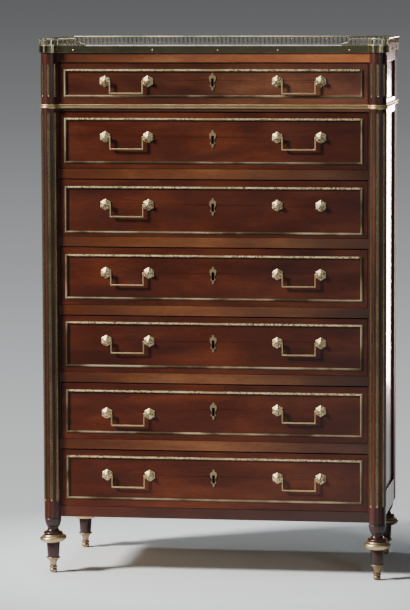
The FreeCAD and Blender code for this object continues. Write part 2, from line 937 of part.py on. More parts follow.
def foot_ring():
    """The heavy ring that lies on the shaft's shoulder, under the collar."""
    hole = foot_seat_radius + ring_clearance
    low = foot_ring_bottom
    high = low + foot_ring_height - ring_clearance
    middle = (low + high) / 2
    lip = foot_ring_radius - foot_ring_height * 0.42
    return turned(
        (hole, low),
        (lip, low),
        (lip + 1.5, low + 3),
        (foot_ring_radius, middle, lip + 1.5, high - 3),
        (lip, high),
        (hole, high),
    )


def sabot():
    """A turned brass shoe: collar, cup, waist, bead, bulb and tip."""
    waist = sabot_waist_radius
    inner = foot_ankle_radius + ring_clearance
    tip = sabot_tip_radius
    return turned(
        (0, 0),
        (tip, 0),
        (sabot_bulb_radius, 5, tip + 2, 12.5),
        (tip, 14),
        (waist + 2.0, 16.5, tip, 19),
        (waist - 1, 21),
        (sabot_collar_radius - 8, 34, sabot_collar_radius - 2, sabot_height - 5),
        (sabot_collar_radius, sabot_height - 2.5, sabot_collar_radius - 2, sabot_height),
        (inner, sabot_height),
        (waist - 3 + ring_clearance, sabot_height * 0.66),
        (0, sabot_height * 0.66),
    )


def foot_places():
    places = [(column_x, front_axis_y), (rear_foot_x, rear_axis_y)]
    return places + [(-x, y) for x, y in places]


def on_every_foot(piece):
    return [at(piece, x, y) for x, y in foot_places()]


def build():
    os.makedirs("parts", exist_ok=True)
    right_column = column()
    save("column_right", right_column)
    save("column_left", mirrored(right_column))
    liners = flute_liners()
    save("flute_liners", liners + [mirrored(liner) for liner in liners])
    save("rear_stiles", both_sides(rear_stile()))
    right_side = side_frame()
    save("side_right", right_side)
    save("side_left", [mirrored(piece) for piece in right_side])
    save("back_panel", back_frame())
    save("front_rails", front_rails())
    save("drawer_runners", runners())
    save("bottom_board", level_board(foot_height, foot_height + bottom_thickness))
    save("top_board", level_board(carcass_top_z - top_board_thickness, carcass_top_z))
    save("marble_top", top_slab(top_overhang - brass_sheet, carcass_top_z, marble_top_z))
    save("top_band", top_band())
    save("band_pins", band_pins())
    save("gallery", gallery())
    save("waist_moulding", waist_moulding())
    save("feet", on_every_foot(foot()))
    save("foot_rings", on_every_foot(foot_ring()))
    save("foot_sabots", on_every_foot(sabot()))
    for number, bottom, top in openings():
        name = f"drawer_{number}"
        save(name + "_front", drawer_front(number, bottom, top))
        save(name + "_box", drawer_box(bottom, top))
        save(name + "_brasswork", drawer_brasswork(number, bottom, top))
        save(f"lock_bolt_{number}", bolt_box(top))
        for side, word in ((-1, "left"), (1, "right")):
            # The third drawer has lost its right bail.
            if (number, word) != (3, "right"):
                save(f"bail_{number}_{word}", bail(number, bottom, top, side))


build()
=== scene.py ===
import math

import bmesh
import bpy
from mathutils import Matrix, Vector


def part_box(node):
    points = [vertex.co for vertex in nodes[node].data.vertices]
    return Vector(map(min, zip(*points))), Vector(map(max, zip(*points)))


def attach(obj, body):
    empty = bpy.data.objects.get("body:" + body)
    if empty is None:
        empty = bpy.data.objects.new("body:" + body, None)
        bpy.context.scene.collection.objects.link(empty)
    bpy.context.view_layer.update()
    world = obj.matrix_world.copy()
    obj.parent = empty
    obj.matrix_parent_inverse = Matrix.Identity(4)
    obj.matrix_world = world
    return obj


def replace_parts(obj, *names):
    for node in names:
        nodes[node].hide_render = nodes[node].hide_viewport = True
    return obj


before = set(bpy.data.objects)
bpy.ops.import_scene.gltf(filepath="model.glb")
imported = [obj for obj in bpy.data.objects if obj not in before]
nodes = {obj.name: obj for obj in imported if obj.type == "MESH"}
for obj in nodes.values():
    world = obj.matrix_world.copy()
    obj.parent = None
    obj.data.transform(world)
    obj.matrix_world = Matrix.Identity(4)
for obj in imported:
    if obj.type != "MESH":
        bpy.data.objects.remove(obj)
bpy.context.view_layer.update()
drawerNumbers = range(1, 8)
print("frame loaded")


# Adds shader nodes to a tree. An input is a number, a tuple or another node's output.
class Graph:
    def __init__(self, tree):
        self.tree = tree
        tree.nodes.clear()

    def add(self, kind, inputs=None, **settings):
        node = self.tree.nodes.new("ShaderNode" + kind)
        for name, value in settings.items():
            setattr(node, name, value)
        for name, value in (inputs or {}).items():
            if isinstance(value, bpy.types.NodeSocket):
                self.tree.links.new(value, node.inputs[name])
            else:
                node.inputs[name].default_value = value
        return node

    def noise(self, vector, scale, detail=2.0, roughness=0.5, distortion=0.0):
        inputs = {"Vector": vector, "Scale": scale, "Detail": detail}
        inputs.update({"Roughness": roughness, "Distortion": distortion})
        return self.add("TexNoise", inputs).outputs["Fac"]

    def math(self, operation, first, second=0.0, clamp=False):
        node = self.add("Math", {0: first, 1: second}, operation=operation, use_clamp=clamp)
        return node.outputs[0]

    def spread(self, value, low, high, newLow=0.0, newHigh=1.0):
        inputs = {"Value": value, "From Min": low, "From Max": high}
        inputs.update({"To Min": newLow, "To Max": newHigh})
        return self.add("MapRange", inputs).outputs["Result"]

    def ramp(self, value, *stops):
        node = self.add("ValToRGB", {"Fac": value})
        elements = node.color_ramp.elements
        for place, colour in stops[2:]:
            elements.new(place)
        for element, (place, colour) in zip(elements, sorted(stops)):
            element.position = place
            element.color = (*colour, 1)
        return node.outputs["Color"]

    def product(self, first, second):
        return self.math("MULTIPLY", first, second)

    def grey(self, value):
        return self.add("CombineColor", {0: value, 1: value, 2: value}).outputs[0]

    # Separate x, y and z of a vector, or of the frame's positions.
    def parts(self, vector=None):
        if vector is None:
            vector = self.stretched((1, 1, 1))
        return self.add("SeparateXYZ", {0: vector}).outputs

    def mix(self, share, first, second, blend="MIX"):
        node = self.add("Mix", data_type="RGBA", blend_type=blend)
        for socket, value in ((0, share), (6, first), (7, second)):
            if isinstance(value, bpy.types.NodeSocket):
                self.tree.links.new(value, node.inputs[socket])
            elif isinstance(value, tuple):
                node.inputs[socket].default_value = (*value, 1)
            else:
                node.inputs[socket].default_value = value
        return node.outputs[2]

    # Positions in the frame's metres, scaled per axis.
    def stretched(self, scale, move=(0, 0, 0)):
        place = self.add("TexCoord").outputs["Object"]
        return self.add("Mapping", {"Vector": place, "Location": move, "Scale": scale}).outputs[0]

    # The surface, with bumps as (height, strength, distance), the coarsest first.
    def finish(self, inputs, bumps=()):
        normal = None
        for height, strength, distance in bumps:
            bump = {"Height": height, "Strength": strength, "Distance": distance}
            if normal:
                bump["Normal"] = normal
            normal = self.add("Bump", bump).outputs[0]
        surface = self.add("BsdfPrincipled", inputs)
        if normal:
            self.tree.links.new(normal, surface.inputs["Normal"])
        output = self.add("OutputMaterial")
        self.tree.links.new(surface.outputs[0], output.inputs[0])


def newMaterial(name):
    material = bpy.data.materials.new(name)
    material.use_nodes = True
    return material, Graph(material.node_tree)


# Materials

woodLook = {
    "figure": 0.45,
    "figureScale": 3.4,
    "streakScale": 2.6,
    "fibreScale": 46,
    "poreScale": 26,
    "poreLength": 2.2,
    "pores": 0.45,
    "coat": 0.5,
    "coatRough": 0.12,
    "specular": 0.5,
    "hazeScale": 5.0,
    "patternShare": 0.9,
    "fibreShare": 0.14,
    "pitEdges": (0.56, 0.66),
    "pitRough": 0.12,
    "toneStops": (0.34, 0.52, 0.7),
}
darkeningLook = {"halfWidth": 0.42, "blend": 0.01}


# Wood darkened in height bands and from left to right; each band holds its top and its colour
# stops. Some bands carry painted shade or a painted reflection, as noted where they are given.
def darkenedInBands(graph, colour, darkeningBands):
    parts = graph.parts()
    halfWidth, blend = darkeningLook["halfWidth"], darkeningLook["blend"]
    sideways = graph.spread(parts[0], -halfWidth, halfWidth)
    result, below = colour, 0.0
    for top, *stops in darkeningBands:
        darker = graph.mix(1.0, colour, graph.ramp(sideways, *stops), "MULTIPLY")
        above = graph.spread(parts[2], below - blend, below + blend)
        result = graph.mix(above, result, darker)
        below = top
    return result


# Polished wood: broad figure, streaks along the grain, fine fibre and short dark pores.
def wood(name, values):
    look = dict(woodLook, **values)
    material, graph = newMaterial(name)
    across = {"x": (1, 7, 7), "y": (7, 1, 7), "z": (7, 7, 1)}[look["grain"]]
    shift = (look["seed"] * 3.7, look["seed"] * 1.3, look["seed"] * 2.9)
    broad = graph.stretched([1 + (a - 1) * 0.2 for a in across], shift)
    along = graph.stretched(across, shift)
    pored = graph.stretched([a * a if a > 1 else look["poreLength"] for a in across], shift)
    figure = graph.noise(broad, look["figureScale"], 3, 0.5, 0.9)
    streak = graph.noise(along, look["streakScale"], 5, 0.62, 0.35)
    fibre = graph.noise(along, look["fibreScale"], 3, 0.6)
    pore = graph.noise(pored, look["poreScale"], 1.5, 0.4)
    haze = graph.noise(broad, look["hazeScale"], 4, 0.6)
    figured = graph.product(figure, look["figure"])
    streaked = graph.product(streak, look["patternShare"] - look["figure"])
    tone = graph.math("ADD", figured, streaked)
    tone = graph.math("ADD", tone, graph.product(fibre, look["fibreShare"]))
    tones = (look["dark"], look["middle"], look["light"])
    colour = graph.ramp(tone, *zip(look["toneStops"], tones))
    pits = graph.spread(pore, *look["pitEdges"])
    colour = graph.mix(graph.product(pits, look["pores"]), colour, look["pore"])
    if "darkeningBands" in look:
        colour = darkenedInBands(graph, colour, look["darkeningBands"])
    rough = graph.spread(haze, 0.3, 0.75, *look["rough"])
    rough = graph.math("ADD", rough, graph.product(pits, look["pitRough"]))
    inputs = {
        "Base Color": colour,
        "Roughness": rough,
        "Coat Weight": look["coat"],
        "Coat Roughness": look["coatRough"],
        "Specular IOR Level": look["specular"],
    }
    graph.finish(inputs, [(haze, 0.12, 0.0012), (pits, 0.25, -0.00012), (fibre, 0.12, 0.00012)])
    return material


# Unpolished secondary wood: open grain, dull surface.
def plainWood(name, values):
    dull = {"coat": 0.0, "specular": 0.3, "rough": (0.55, 0.75), "pores": 0.5}
    return wood(name, dict(dull, **values))


# A drawer's brasswork: dull strips round the edge, chased bosses, painted shade in the keyhole, a
# dark lock.
def fittingColour(graph, look, place, colour):
    halfWidth, bottom, top = look["frame"]
    parts = graph.parts()
    sideways = graph.math("ABSOLUTE", parts[0])
    inwards = graph.math("SUBTRACT", halfWidth, sideways)
    inwards = graph.math("MINIMUM", inwards, graph.math("SUBTRACT", parts[2], bottom))
    inwards = graph.math("MINIMUM", inwards, graph.math("SUBTRACT", top, parts[2]))
    isStrip = graph.spread(inwards, *look["stripEdge"], 1.0, 0.0)
    isBoss = graph.spread(sideways, *look["bossEdge"])
    wear = graph.spread(graph.noise(place, 5.0, 3, 0.55, 0.5), 0.42, 0.6)
    strip = graph.mix(wear, look["stripDull"], look["stripBright"])
    chasing = graph.noise(place, look["chasingScale"], 3, 0.6)
    chasing = graph.spread(chasing, *look["chasingEdges"], 0.0, look["chasingShare"])
    boss = graph.mix(look["bossRubbing"], colour, look["bossBright"])
    boss = graph.mix(chasing, boss, look["stripDull"])
    # Painted shade: the keyhole drawn near black.
    fromEye = graph.math("ABSOLUTE", graph.math("SUBTRACT", parts[2], look["keyHeight"]))
    isEye = graph.product(
        graph.spread(fromEye, *look["eyeHeight"], 1.0, 0.0),
        graph.spread(sideways, *look["eyeWidth"], 1.0, 0.0),
    )
    isInside = graph.spread(parts[1], look["inside"], look["inside"] + 0.002)
    plate = graph.mix(isEye, colour, look["eyeShade"])
    plate = graph.mix(isInside, plate, look["stripDull"])
    return graph.mix(isStrip, graph.mix(isBoss, plate, boss), strip), isBoss


# Old metal: bright where rubbed, darker in clouds and specks, with fine scratches.
def metal(name, look):
    material, graph = newMaterial(name)
    place = graph.stretched((1, 1, 1), (look["seed"], 0, 0))
    clouds = graph.noise(place, look["cloudScale"], 4, 0.6, 0.4)
    specks = graph.noise(place, look["speckScale"], 2, 0.5)
    lines = graph.noise(graph.stretched((60, 60, 900)), 3, 2, 0.6)
    tarnish = graph.spread(clouds, 0.4, 0.68, 0.0, look["tarnish"])
    tarnish = graph.math("ADD", tarnish, graph.spread(specks, 0.62, 0.8, 0, 0.3), clamp=True)
    colour = graph.mix(tarnish, look["bright"], look["dull"])
    rough = graph.spread(clouds, 0.35, 0.75, *look["rough"])
    rough = graph.math("ADD", rough, graph.spread(lines, 0.4, 0.8, 0, 0.08))
    if "frame" in look:
        colour, isBoss = fittingColour(graph, look, place, colour)
        rough = graph.math("ADD", rough, graph.product(isBoss, look["bossRough"]))
    # A painted highlight: metal in front of frontEdge drawn paler, standing in for the key light's
    # glints on the gallery's front.
    if "front" in look:
        frontHighlight = graph.mix(graph.product(tarnish, 0.45), look["front"], look["dull"])
        isBehind = graph.spread(graph.parts()[1], *look["frontEdge"])
        colour = graph.mix(isBehind, frontHighlight, colour)
    inputs = {"Base Color": colour, "Roughness": rough, "Metallic": 1.0}
    graph.finish(inputs, [(clouds, 0.15, 0.0004), (specks, 0.08, 0.00006)])
    return material


# White marble with soft grey clouds and thin veins.
def marble(name, look):
    material, graph = newMaterial(name)
    place = graph.stretched((1, 1.6, 1))
    clouds = graph.noise(place, look["cloudScale"], 5, 0.6, 1.2)
    veins = graph.noise(place, look["veinScale"], 6, 0.62, 2.2)
    line = graph.math("ABSOLUTE", graph.math("SUBTRACT", veins, 0.5))
    line = graph.spread(line, 0.0, look["veinWidth"], 1.0, 0.0)
    base = graph.mix(graph.spread(clouds, 0.35, 0.7), look["light"], look["cloud"])
    inputs = {
        "Base Color": graph.mix(graph.product(line, look["veinShare"]), base, look["vein"]),
        "Roughness": look["rough"],
        "Coat Weight": look["coat"],
        "Coat Roughness": look["coatRough"],
        "Subsurface Weight": 0.08,
        "Subsurface Radius": (0.01, 0.008, 0.006),
    }
    graph.finish(inputs)
    return material


mahoganyTones = {
    "dark": (0.026, 0.005, 0.0022),
    "middle": (0.076, 0.0145, 0.0048),
    "light": (0.16, 0.036, 0.01),
    "pore": (0.01, 0.0022, 0.0016),
    "rough": (0.24, 0.4),
    "coat": 0.35,
    "specular": 0.35,
}
uprightTones = dict(
    mahoganyTones,
    grain="z",
    dark=(0.02, 0.0055, 0.0035),
    middle=(0.055, 0.0135, 0.007),
    light=(0.11, 0.03, 0.014),
)
sideTones = dict(
    mahoganyTones,
    grain="z",
    dark=(0.032, 0.0085, 0.0045),
    middle=(0.052, 0.0135, 0.0065),
    light=(0.082, 0.022, 0.01),
    figure=0.2,
    streakScale=5.5,
)
footTones = dict(
    mahoganyTones,
    grain="z",
    dark=(0.012, 0.0035, 0.003),
    middle=(0.03, 0.0085, 0.0065),
    light=(0.065, 0.02, 0.015),
)
railTones = {
    "grain": "x",
    "dark": (0.18, 0.05, 0.02),
    "middle": (0.38, 0.115, 0.038),
    "light": (0.62, 0.24, 0.08),
    "pore": (0.05, 0.014, 0.007),
    "rough": (0.25, 0.4),
}
# How much darker the rails are drawn, left to right: at the base, between the drawers, from 1.15
# to 1.3 m where the darkening is painted shade under the waist moulding, and on the frieze.
railTones["darkeningBands"] = (
    (0.2, (0.0, (0.25, 0.13, 0.1)), (0.5, (0.1, 0.05, 0.04)), (1.0, (0.09, 0.07, 0.07))),
    (1.15, (0.0, (0.23, 0.16, 0.07)), (0.5, (0.42, 0.45, 0.44)), (1.0, (0.1, 0.09, 0.09))),
    # Painted shade: the rail under the waist moulding drawn much darker.
    (1.3, (0.0, (0.07, 0.06, 0.06)), (0.5, (0.1, 0.09, 0.08)), (1.0, (0.09, 0.08, 0.08))),
    (2.0, (0.0, (0.2, 0.15, 0.12)), (0.5, (0.56, 0.6, 0.68)), (1.0, (1, 1, 1))),
)
frontTones = dict(
    mahoganyTones,
    grain="x",
    darkeningBands=((2.0, (0.0, (0.92, 0.85, 0.9)), (0.5, (0.9, 0.85, 0.8)), (1.0, (0.6, 0.6, 0.75))),),
)
# The top drawer's front is paler and more figured towards its right half; the paler right half is
# partly its lighter figure and partly a painted reflection.
topFrontTones = dict(
    mahoganyTones,
    grain="x",
    dark=(0.045, 0.013, 0.006),
    middle=(0.12, 0.038, 0.016),
    light=(0.24, 0.085, 0.035),
    darkeningBands=(
        (
            2.0,
            (0.0, (0.58, 0.45, 0.45)),
            (0.45, (0.5, 0.38, 0.38)),
            (0.6, (0.9, 0.95, 1)),
            (1.0, (0.68, 0.66, 0.95)),
        ),
    ),
)
oakTones = {
    "dark": (0.2, 0.12, 0.055),
    "middle": (0.34, 0.22, 0.11),
    "light": (0.46, 0.32, 0.17),
    "pore": (0.1, 0.055, 0.025),
}
brassTones = {
    "bright": (0.7, 0.53, 0.29),
    "dull": (0.26, 0.18, 0.09),
    "tarnish": 0.65,
    "rough": (0.32, 0.48),
    "cloudScale": 9,
    "speckScale": 420,
    "seed": 0.0,
}
fluteTones = dict(
    brassTones,
    bright=(0.42, 0.33, 0.18),
    dull=(0.13, 0.09, 0.04),
    tarnish=0.8,
    rough=(0.2, 0.34),
)
bandTones = dict(
    brassTones,
    bright=(0.5, 0.44, 0.24),
    dull=(0.17, 0.14, 0.07),
    rough=(0.14, 0.28),
)
fittingTones = dict(
    brassTones,
    stripEdge=(0.009, 0.0095),
    stripBright=(0.52, 0.41, 0.25),
    stripDull=(0.1, 0.075, 0.04),
    bossEdge=(0.03, 0.035),
    bossBright=(0.88, 0.72, 0.42),
    bossRubbing=0.6,
    bossRough=0.14,
    chasingScale=250,
    chasingEdges=(0.49, 0.56),
    chasingShare=0.9,
    eyeHeight=(0.0105, 0.012),
    eyeWidth=(0.0034, 0.0044),
    eyeShade=(0.012, 0.008, 0.004),
    eyeRise=0.003,
    faceDepth=0.012,
)
galleryTones = dict(
    brassTones,
    seed=4.0,
    bright=(0.5, 0.42, 0.26),
    dull=(0.06, 0.05, 0.03),
    tarnish=0.9,
    rough=(0.2, 0.3),
    # The front colour is a painted highlight on the gallery's front part.
    front=(0.85, 0.76, 0.53),
    frontEdge=(-0.19, -0.15),
)
ringTones = dict(
    brassTones,
    seed=6.0,
    bright=(0.62, 0.47, 0.26),
    dull=(0.14, 0.09, 0.04),
    tarnish=0.9,
)
sabotTones = dict(
    brassTones,
    seed=7.0,
    bright=(0.42, 0.3, 0.18),
    dull=(0.1, 0.06, 0.035),
    tarnish=0.9,
)
steelTones = dict(
    brassTones,
    bright=(0.4, 0.39, 0.37),
    dull=(0.14, 0.11, 0.09),
)
marbleTones = {
    "light": (0.62, 0.61, 0.6),
    "cloud": (0.46, 0.46, 0.47),
    "vein": (0.28, 0.29, 0.31),
    "cloudScale": 4.5,
    "veinScale": 2.6,
    "veinWidth": 0.035,
    "veinShare": 0.55,
    "rough": 0.08,
    "coat": 0.8,
    "coatRough": 0.03,
}


# Puts one material on a CAD node.
def dress(node, material):
    slots = nodes[node].material_slots
    for slot in slots:
        slot.material = material
    if not slots:
        nodes[node].data.materials.append(material)


# Rounds a CAD node's sharp edges a little.
def soften(node, width):
    piece = nodes[node]
    weld = piece.modifiers.new("weld", "WELD")
    weld.merge_threshold = 0.00002
    bevel = piece.modifiers.new("bevel", "BEVEL")
    bevel.width = width
    bevel.segments = 2
    bevel.limit_method = "ANGLE"
    bevel.angle_limit = math.radians(35)
    bevel.harden_normals = True
    bevel.use_clamp_overlap = True


def dressCarcase():
    upright = wood("uprightMahogany", dict(uprightTones, seed=1.0))
    side = wood("sideMahogany", dict(sideTones, seed=2.0))
    stile = wood("stileMahogany", dict(sideTones, seed=9.0, rough=(0.6, 0.7), coat=0.0))
    across = plainWood("oakAcross", dict(oakTones, grain="x", seed=7.0))
    brass = metal("brass", brassTones)
    materials = {
        "column_right": upright,
        "column_left": upright,
        "rear_stiles": stile,
        "side_right": side,
        "side_left": side,
        "front_rails": wood("railMahogany", dict(railTones, seed=3.0)),
        "feet": wood("turnedMahogany", dict(mahoganyTones, grain="z", seed=4.0)),
        "back_panel": plainWood("oakUpright", dict(oakTones, grain="z", seed=5.0)),
        "drawer_runners": plainWood("oakAlong", dict(oakTones, grain="y", seed=6.0)),
        "bottom_board": across,
        "top_board": across,
        "marble_top": marble("marble", marbleTones),
        "flute_liners": metal("fluteBrass", fluteTones),
        "top_band": metal("bandBrass", bandTones),
    }
    for node in ("waist_moulding", "band_pins", "gallery", "foot_rings", "foot_sabots"):
        materials[node] = brass
    for node in nodes:
        if node.startswith("bail"):
            materials[node] = brass
    for node, material in materials.items():
        dress(node, material)
    for node in ("front_rails", "side_right", "side_left", "rear_stiles"):
        soften(node, 0.0007)
    return across


def dressDrawers(boxWood):
    steel = metal("steel", steelTones)
    for number in drawerNumbers:
        drawer = "drawer_" + str(number)
        frameLow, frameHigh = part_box(drawer + "_brasswork")
        frontLow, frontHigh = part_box(drawer + "_front")
        fitting = dict(
            fittingTones,
            seed=float(number),
            frame=(frameHigh.x, frameLow.z, frameHigh.z),
            keyHeight=(frontLow.z + frontHigh.z) / 2 + fittingTones["eyeRise"],
            inside=frontLow.y + fittingTones["faceDepth"],
        )
        front = dict(topFrontTones if number == 1 else frontTones, seed=10.0 + number)
        dress(drawer + "_brasswork", metal("fittingBrass" + str(number), fitting))
        dress(drawer + "_front", wood("front" + str(number), front))
        dress(drawer + "_box", boxWood)
        dress("lock_bolt_" + str(number), steel)
        soften(drawer + "_front", 0.0008)


# A mesh piece in the frame's metres that rides on a body. Edges of over 30 degrees stay sharp.
def addPiece(name, points, faces, material, body):
    data = bpy.data.meshes.new(name)
    data.from_pydata([tuple(p) for p in points], [], faces)
    data.materials.append(material)
    shape = bmesh.new()
    shape.from_mesh(data)
    bmesh.ops.remove_doubles(shape, verts=shape.verts, dist=0.000005)
    bmesh.ops.recalc_face_normals(shape, faces=shape.faces)
    shape.to_mesh(data)
    shape.free()
    data.set_sharp_from_angle(angle=math.radians(30))
    piece = bpy.data.objects.new(name, data)
    bpy.context.scene.collection.objects.link(piece)
    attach(piece, body)
    return piece


# Points and faces gathered into one piece.
class Shape:
    def __init__(self):
        self.points = []
        self.faces = []

    # Quads between closed rows of points; caps fills both end rows.
    def strip(self, rows, caps=False):
        first = len(self.points)
        width = len(rows[0])
        for row in rows:
            self.points += row
        for r in range(len(rows) - 1):
            low = first + r * width
            high = low + width
            for k in range(width):
                after = (k + 1) % width
                self.faces.append((low + k, low + after, high + after, high + k))
        if caps:
            self.faces.append(tuple(range(first, first + width)))
            last = first + (len(rows) - 1) * width
            self.faces.append(tuple(range(last, last + width)))

    # A lathe form: profile is (radius, height) points round the upright axis through centre.
    def turned(self, centre, profile, steps):
        rows = []
        for radius, height in profile:
            row = []
            for k in range(steps):
                angle = 2 * math.pi * k / steps
                offset = (radius * math.cos(angle), radius * math.sin(angle), height)
                row.append(Vector(centre) + Vector(offset))
            rows.append(row)
        self.strip(rows, caps=True)

    def piece(self, name, material, body, slot):
        return addPiece(name, self.points, self.faces, material, body)


# The gallery

gallery = {
    "pitch": 0.0125,
    "archWidth": 0.0084,
    "base": 0.004,
    "spring": 0.0133,
    "height": 0.021,
    "thickness": 0.0026,
    "chamfer": 0.0004,
    "setback": 0.0002,
    "rampLength": 0.022,
    "rampFoot": 0.003,
    "rampUnderBead": 0.002,
    "railStep": 0.003,
    "returnLength": 0.072,
    "corner": (0.455, -0.205),
    "cornerRadius": 0.029,
    "frontY": -0.216,
    "sideX": 0.472,
    "rearY": 0.237,
}


# A straight stretch of the gallery: length, and place and outward direction along it.
def straightRun(start, end, outward):
    start, end, outward = Vector(start), Vector(end), Vector(outward)
    length = (end - start).length

    def place(s):
        return start.lerp(end, s / length), outward

    return length, place


# A round stretch between two angles.
def roundRun(centre, radius, first, last):
    length = radius * abs(last - first)

    def place(s):
        angle = first + (last - first) * s / length
        outward = Vector((math.cos(angle), math.sin(angle), 0))
        return Vector(centre) + outward * radius, outward

    return length, place


# The return, the corner and the side run over one end; side is 1 on the right.
def galleryRuns(side):
    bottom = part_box("gallery")[0].z
    columnX, columnY = gallery["corner"]
    radius, frontY, sideX = gallery["cornerRadius"], gallery["frontY"], gallery["sideX"]
    innerX = columnX - math.sqrt(radius ** 2 - (columnY - frontY) ** 2)
    outerY = columnY + math.sqrt(radius ** 2 - (sideX - columnX) ** 2)
    first = math.atan2(frontY - columnY, innerX - columnX)
    last = math.atan2(outerY - columnY, sideX - columnX)
    freeEnd = (innerX - gallery["returnLength"], frontY, bottom)
    runs = [
        straightRun(freeEnd, (innerX, frontY, bottom), (0, -1, 0)),
        roundRun((columnX, columnY, bottom), radius, first, last),
        straightRun((sideX, outerY, bottom), (sideX, gallery["rearY"], bottom), (1, 0, 0)),
    ]
    return [mirroredRun(run, side) for run in runs]


# The run itself on the right, its mirror image on the left.
def mirroredRun(run, side):
    length, place = run

    def other(s):
        point, outward = place(s)
        return Vector((point.x * side, point.y, point.z)), Vector((outward.x * side, outward.y, 0))

    return length, other


# Pairs of (inner, outer) points round one arch and its share of the plate.
def archCell(pitch):
    half, top = gallery["archWidth"] / 2, gallery["height"]
    base, spring = gallery["base"], gallery["spring"]
    pairs = []
    for k in range(3):
        height = base + (spring - base) * k / 3
        pairs.append(((-half, height), (-pitch / 2, height if k else 0.0)))
    for k in range(13):
        angle = math.pi * (1 - k / 12)
        inner = (half * math.cos(angle), spring + half * math.sin(angle))
        if k <= 3:
            outer = (-pitch / 2, spring + (top - spring) * k / 3)
        elif k < 9:
            outer = (pitch / 2 * (k - 6) / 3, top)
        else:
            outer = (pitch / 2, spring + (top - spring) * (12 - k) / 3)
        pairs.append((inner, outer))
    for k in (2, 1, 0):
        height = base + (spring - base) * k / 3
        pairs.append(((half, height), (pitch / 2, height if k else 0.0)))
    for k in (1, 0, -1):
        pairs.append(((half * k / 2, base), (pitch / 2 * k / 2, 0.0)))
    return pairs


# Arches side by side along a run, with chamfered openings.
def addArches(shape, run, start, stop):
    place = run[1]
    count = max(1, round((stop - start) / gallery["pitch"]))
    pitch = (stop - start) / count
    pairs = archCell(pitch)
    thick, chamfer = gallery["thickness"], gallery["chamfer"]
    for cell in range(count):
        middle = start + pitch * (cell + 0.5)

        def at(point, depth):
            here, outward = place(middle + point[0])
            return here - outward * (depth + gallery["setback"]) + Vector((0, 0, point[1]))

        def grown(inner, outer):
            away = Vector(outer) - Vector(inner)
            return Vector(inner) + away.normalized() * chamfer

        rows = [
            [at(outer, 0) for inner, outer in pairs],
            [at(grown(inner, outer), 0) for inner, outer in pairs],
            [at(inner, chamfer) for inner, outer in pairs],
            [at(inner, thick - chamfer) for inner, outer in pairs],
            [at(grown(inner, outer), thick) for inner, outer in pairs],
            [at(outer, thick) for inner, outer in pairs],
        ]
        shape.strip(rows)


# A moulding along a run; section is (outwards, up) points.
def addRail(shape, run, section, heightAt=None):
    length, place = run
    isPlain = place(0)[1] == place(length)[1] and not heightAt
    steps = 1 if isPlain else max(2, round(length / gallery["railStep"]))
    rows = []
    for k in range(steps + 1):
        s = length * k / steps
        here, outward = place(s)
        lift = heightAt(s) if heightAt else 0.0
        rows.append([here + outward * a + Vector((0, 0, b + lift)) for a, b in section])
    shape.strip(rows, caps=True)


# How far the top rail sinks near the free end of a return.
def rampHeight(s):
    share = min(1.0, s / gallery["rampLength"])
    drop = gallery["height"] - gallery["base"] - gallery["rampFoot"]
    return -drop * math.sqrt(1 - share ** 2)


# Sections of the top bead and of the foot rail, as (outwards, up) points.
def railSections():
    thick = gallery["thickness"] + 0.0004
    top = gallery["height"]
    bead = [
        (-thick - 0.0002, top - 0.0034),
        (0.0, top - 0.0034),
        (0.0004, top - 0.0026),
        (0.0004, top - 0.0012),
        (-0.0003, top - 0.0003),
        (-thick / 2, top),
        (-thick + 0.0001, top - 0.0003),
        (-thick - 0.0006, top - 0.0012),
        (-thick - 0.0006, top - 0.0026),
    ]
    base = [
        (-thick - 0.0005, 0),
        (0.0004, 0),
        (0.0004, 0.0022),
        (-0.0001, 0.003),
        (-0.0001, 0.0039),
        (-thick, 0.0039),
        (-thick - 0.0005, 0.003),
    ]
    return bead, base


def addGallery(brass):
    arcade, rails = Shape(), Shape()
    bead, base = railSections()
    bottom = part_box("gallery")[0].z
    sideX, rearY = gallery["sideX"], gallery["rearY"]
    back = straightRun((sideX, rearY, bottom), (-sideX, rearY, bottom), (0, 1, 0))
    addArches(arcade, back, 0, back[0])
    addRail(rails, back, bead)
    addRail(rails, back, base)
    for side in (1, -1):
        runs = galleryRuns(side)
        addArches(arcade, runs[0], gallery["rampLength"], runs[0][0])
        addRamp(arcade, runs[0])
        addRail(rails, runs[0], bead, rampHeight)
        addRail(rails, runs[0], base)
        for run in runs[1:]:
            addArches(arcade, run, 0, run[0])
            addRail(rails, run, bead)
            addRail(rails, run, base)
    piece = arcade.piece("gallery_arcade", brass, "cabinet", "brass")
    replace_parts(piece, "gallery")
    rails.piece("gallery_rails", brass, "cabinet", "brass")


# The solid curved end of a return.
def addRamp(shape, run):
    place = run[1]
    steps = 12
    rows = []
    for k in range(steps + 1):
        s = gallery["rampLength"] * k / steps
        here, outward = place(s)
        up = Vector((0, 0, gallery["height"] - gallery["rampUnderBead"] + rampHeight(s)))
        near = here - outward * gallery["setback"]
        far = here - outward * gallery["thickness"]
        rows.append([near, far, far + up, near + up])
    shape.strip(rows, caps=True)


# Feet

foot = {
    "places": {
        "front_right": (0.455, -0.205),
        "front_left": (-0.455, -0.205),
        "rear_right": (0.44, 0.205),
        "rear_left": (-0.44, 0.205),
    },
    "ringTilt": {"front_left": -4.5, "rear_right": 3.0},
    "ringMiddle": 0.0984,
    "dowel": 0.0152,
    "cup": 0.024,
    "neck": 0.016,
    "collar": 0.0275,
    "ring": 0.0375,
    "shaft": 0.019,
    "ankle": 0.0162,
    "sabotCollar": 0.0195,
    "sabotWaist": 0.0095,
    "sabotBulb": 0.0105,
    "sabotTip": 0.006,
}


